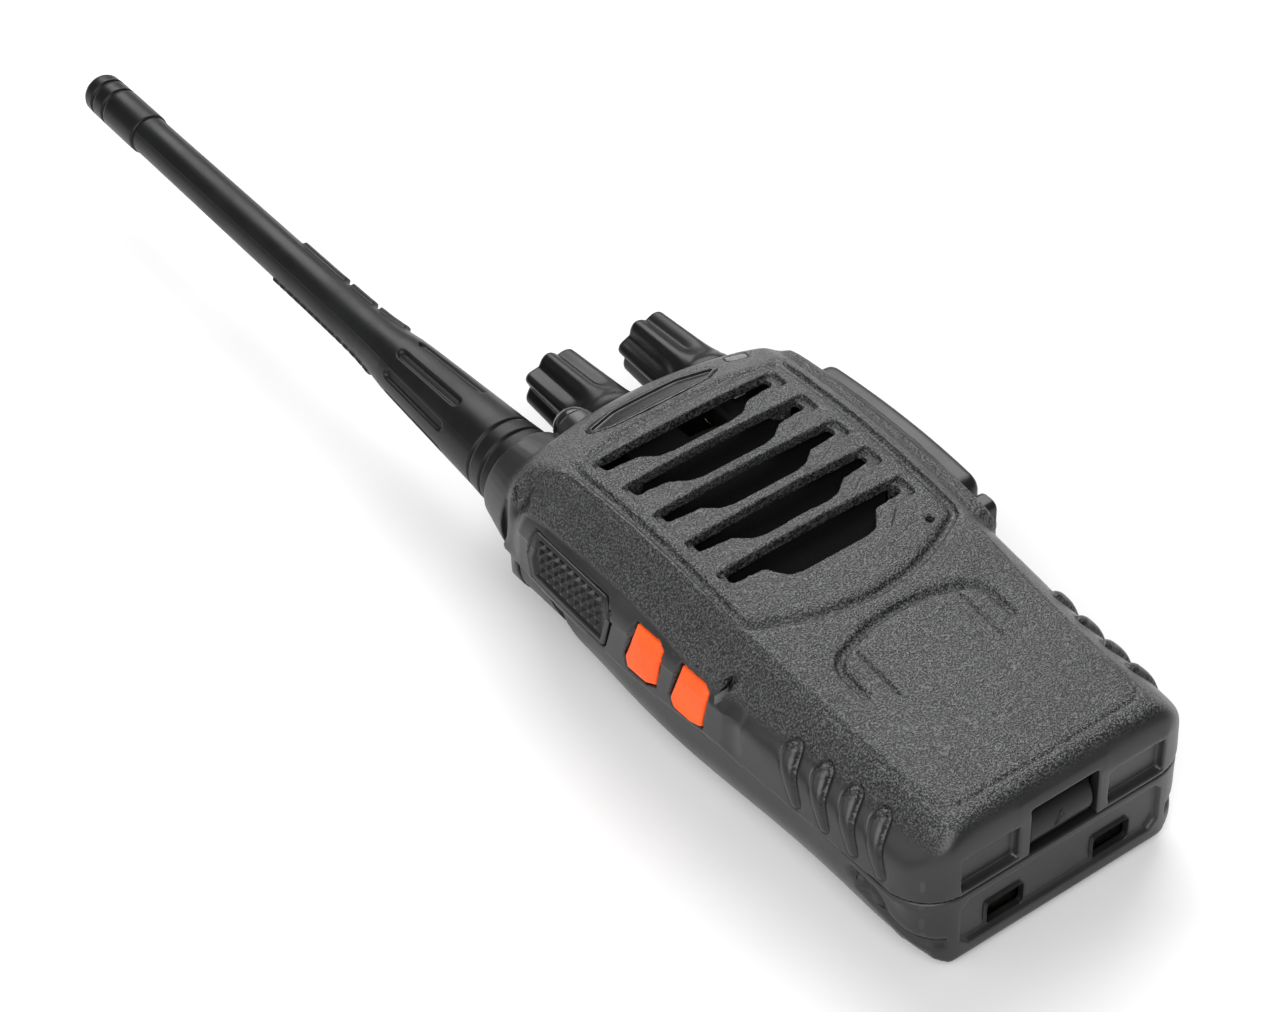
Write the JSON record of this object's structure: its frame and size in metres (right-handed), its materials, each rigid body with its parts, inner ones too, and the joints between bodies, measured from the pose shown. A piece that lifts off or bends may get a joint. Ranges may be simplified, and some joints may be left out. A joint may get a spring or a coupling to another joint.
{
  "type": "handheld two-way radio",
  "caption": "Handheld two-way radio with grille, push-to-talk button, side keys, knobs, screw-off antenna, jack cover and slide-off battery pack.",
  "frame": {"origin": "on the battery pack's flat back, in the middle across the radio and 38 mm up from its base", "axes": "+Y from the base towards the antenna, +Z out of the front face, +X to the right seen from the front; the radio lies on its back"},
  "size_m": [0.0583, 0.2311, 0.0331],
  "materials": {
    "shell_plastic": "textured",
    "battery_plastic": "satin",
    "dark_plate": "semi-gloss",
    "clear_lens": "frosted",
    "soft_rubber": "matte",
    "orange_key": "matte",
    "knob_plastic": "satin",
    "antenna_rubber": "matte",
    "die_cast": "cast",
    "steel": "bright",
    "brass": "plated",
    "board_green": "solder mask",
    "black_part": "moulded",
    "shaft_metal": "turned",
    "cone_paper": "pressed",
    "cloth": "woven",
    "light": "clear",
    "cell_wrap": "shrink wrap"
  },
  "bodies": {
    "radio": {"front_housing": "shell_plastic", "nameplate": "dark_plate", "led_lens": "clear_lens", "flashlight_lens": "dark_plate", "flashlight_led": "light", "speaker_basket": "steel", "speaker_cone": "cone_paper", "speaker_magnet": "steel", "speaker_cloth": "cloth", "microphone": "black_part", "microphone_boot": "soft_rubber", "rear_chassis": "die_cast", "chassis_seal": "soft_rubber", "chassis_screws": "steel", "main_board": "board_green", "rf_shield": "steel", "board_chips": "black_part", "board_screws": "steel", "status_led": "light", "channel_control": "black_part", "channel_nut": "brass", "volume_control": "black_part", "volume_nut": "brass", "knob_seals": "soft_rubber", "side_key_board": "board_green", "side_switches": "black_part", "speaker_jack": "black_part", "mic_jack": "black_part", "cover_anchor": "soft_rubber", "cover_screw": "steel", "latch_springs": "steel", "radio_contacts": "brass", "antenna_socket": "brass"},
    "channel_knob": {"channel_knob": "knob_plastic", "channel_shaft": "shaft_metal"},
    "volume_knob": {"volume_knob": "knob_plastic", "volume_shaft": "shaft_metal"},
    "ptt_button": {"ptt_button": "soft_rubber"},
    "side_key_upper": {"side_key_upper": "orange_key"},
    "side_key_lower": {"side_key_lower": "orange_key"},
    "jack_cover": {"jack_cover": "soft_rubber"},
    "latch": {"latch_slider": "knob_plastic"},
    "battery_pack": {"battery_case": "battery_plastic", "battery_lid": "battery_plastic", "battery_contacts": "brass", "battery_cell": "cell_wrap", "protection_board": "board_green", "cell_tabs": "steel", "charge_contacts": "brass", "belt_clip_inserts": "brass"},
    "antenna": {"antenna_plug": "brass", "antenna_sheath": "antenna_rubber", "antenna_coil": "brass", "antenna_whip": "steel", "antenna_tip_cap": "antenna_rubber"}
  },
  "joints": [
    {"name": "channel_turn", "type": "hinge", "parent": "radio", "child": "channel_knob", "pos_m": [0.0001, 0.065, 0.0165], "axis": [0, 1, 0], "range_deg": [0, 337.5]},
    {"name": "volume_turn", "type": "hinge", "parent": "radio", "child": "volume_knob", "pos_m": [0.017, 0.063, 0.0165], "axis": [0, 1, 0], "range_deg": [0, 300]},
    {"name": "ptt_press", "type": "slide", "parent": "radio", "child": "ptt_button", "axis": [1, 0, 0], "range_m": [0, 0.0009], "stiffness_N_per_m": 2500, "springref_m": -0.0005},
    {"name": "upper_key_press", "type": "slide", "parent": "radio", "child": "side_key_upper", "axis": [1, 0, 0], "range_m": [0, 0.0006], "stiffness_N_per_m": 2500, "springref_m": -0.0005},
    {"name": "lower_key_press", "type": "slide", "parent": "radio", "child": "side_key_lower", "axis": [1, 0, 0], "range_m": [0, 0.0006], "stiffness_N_per_m": 2500, "springref_m": -0.0005},
    {"name": "jack_cover_swing", "type": "hinge", "parent": "radio", "child": "jack_cover", "pos_m": [0.0292, 0.0138, 0.0213], "axis": [0, 0, -1], "range_deg": [0, 100]},
    {"name": "latch_push", "type": "slide", "parent": "radio", "child": "latch", "axis": [0, 0, 1], "range_m": [0, 0.002], "stiffness_N_per_m": 1200, "springref_m": -0.001, "deforming": ["latch_springs"]},
    {"name": "battery_slide", "type": "slide", "parent": "radio", "child": "battery_pack", "axis": [0, -1, 0], "range_m": [0, 0.015]},
    {"name": "antenna_pull", "type": "slide", "parent": "radio", "child": "antenna", "axis": [0, 1, 0], "range_m": [0, 0.009]}
  ]
}
